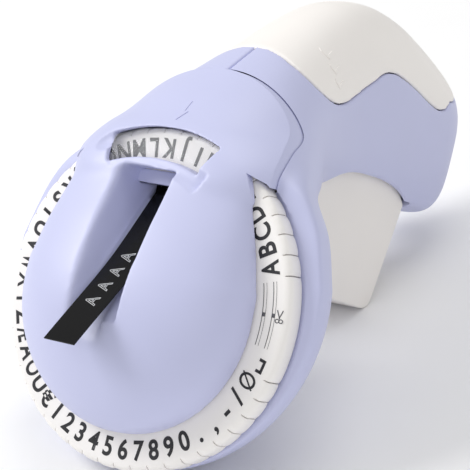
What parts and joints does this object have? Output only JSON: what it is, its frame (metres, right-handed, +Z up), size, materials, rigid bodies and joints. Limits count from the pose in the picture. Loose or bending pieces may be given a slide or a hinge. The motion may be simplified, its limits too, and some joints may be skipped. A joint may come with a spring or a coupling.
{
  "type": "label maker",
  "caption": "Hand-held embossing label maker with a notched letter dial, curved window, squeeze trigger and pistol-grip handle with a tape door.",
  "frame": {"origin": "centre of the bottom of the bounding box, on the surface that the bowl's foot and the trigger's tip rest on", "axes": "+Z up, +Y from the dial towards the handle, +X to the right as seen from the dial end towards the handle"},
  "size_m": [0.0918, 0.168, 0.0817],
  "materials": {
    "lavender_shell": "satin moulded plastic",
    "cream_shell": "satin moulded plastic",
    "cream_dial": "satin moulded plastic with printed characters",
    "clear_lens": "clear polished plastic",
    "black_tape": "glossy vinyl tape",
    "grey_plastic": "plain moulded plastic",
    "steel_part": "plain steel",
    "rubber_part": "matte rubber"
  },
  "bodies": {
    "body": {"left_housing": "lavender_shell", "right_housing": "lavender_shell", "dome_cover": "lavender_shell", "window_lens": "clear_lens", "chassis_plate": "grey_plastic", "tape_guide": "grey_plastic", "detent_spring": "steel_part", "trigger_pin": "steel_part", "trigger_spring": "steel_part", "lever_pin": "steel_part", "feed_shaft": "steel_part", "pinch_shaft": "steel_part", "label_tape": "black_tape", "cassette_case": "grey_plastic", "door_hinge_pin": "steel_part", "housing_screw_1": "steel_part", "housing_screw_2": "steel_part", "housing_screw_3": "steel_part", "chassis_screw_1": "steel_part", "chassis_screw_2": "steel_part", "chassis_screw_3": "steel_part"},
    "dial": {"letter_wheel": "cream_dial"},
    "die_ring": {"die_wheel": "grey_plastic"},
    "pinion": {"sync_pinion": "grey_plastic"},
    "trigger": {"trigger": "cream_shell"},
    "press": {"press_lever": "grey_plastic", "anvil_pad": "steel_part", "cutter_blade": "steel_part"},
    "pawl": {"feed_pawl": "steel_part"},
    "feed": {"feed_roller": "rubber_part", "ratchet_wheel": "grey_plastic"},
    "pinch": {"pinch_roller": "grey_plastic"},
    "reel": {"tape_roll": "black_tape", "spool_hub": "grey_plastic"},
    "door": {"tape_door": "cream_shell"}
  },
  "joints": [
    {"name": "dial_spin", "type": "hinge", "parent": "body", "child": "dial", "pos_m": [0, -0.05277, 0.04022], "axis": [0, -0.8339, 0.5519], "continuous": true},
    {"name": "die_spin", "type": "hinge", "parent": "body", "child": "die_ring", "pos_m": [0, -0.05277, 0.04022], "axis": [0, -0.8339, 0.5519], "continuous": true},
    {"name": "pinion_spin", "type": "hinge", "parent": "body", "child": "pinion", "pos_m": [0, -0.06543, 0.02108], "axis": [0, -0.8339, 0.5519], "continuous": true},
    {"name": "trigger_squeeze", "type": "hinge", "parent": "body", "child": "trigger", "pos_m": [0, -0.0044, 0.04897], "axis": [1, 0, 0], "range_deg": [0, 12], "stiffness_Nm_per_rad": 0.3, "springref_deg": -28.65},
    {"name": "press_lift", "type": "hinge", "parent": "body", "child": "press", "pos_m": [0, -0.03045, 0.04223], "axis": [1, 0, 0], "range_deg": [0, 2.4]},
    {"name": "pawl_swing", "type": "hinge", "parent": "trigger", "child": "pawl", "pos_m": [0, -0.00649, 0.05396], "axis": [1, 0, 0], "range_deg": [0, 6], "stiffness_Nm_per_rad": 0.002, "springref_deg": -17.19},
    {"name": "feed_spin", "type": "hinge", "parent": "body", "child": "feed", "pos_m": [0, -0.01536, 0.06702], "axis": [1, 0, 0], "continuous": true},
    {"name": "pinch_spin", "type": "hinge", "parent": "body", "child": "pinch", "pos_m": [0, -0.01596, 0.07426], "axis": [1, 0, 0], "continuous": true},
    {"name": "reel_spin", "type": "hinge", "parent": "body", "child": "reel", "pos_m": [0, 0.04595, 0.05547], "axis": [1, 0, 0], "continuous": true},
    {"name": "door_open", "type": "hinge", "parent": "body", "child": "door", "pos_m": [0, 0.0773, 0.04287], "axis": [-1, 0, 0], "range_deg": [0, 70]}
  ],
  "couplings": [
    {"joint": "die_spin", "follows": "dial_spin", "ratio": 1},
    {"joint": "pinion_spin", "follows": "dial_spin", "ratio": 4.25},
    {"joint": "press_lift", "follows": "trigger_squeeze", "ratio": 0.2},
    {"joint": "feed_spin", "follows": "reel_spin", "ratio": 3.3333},
    {"joint": "pinch_spin", "follows": "reel_spin", "ratio": -7.8947}
  ]
}
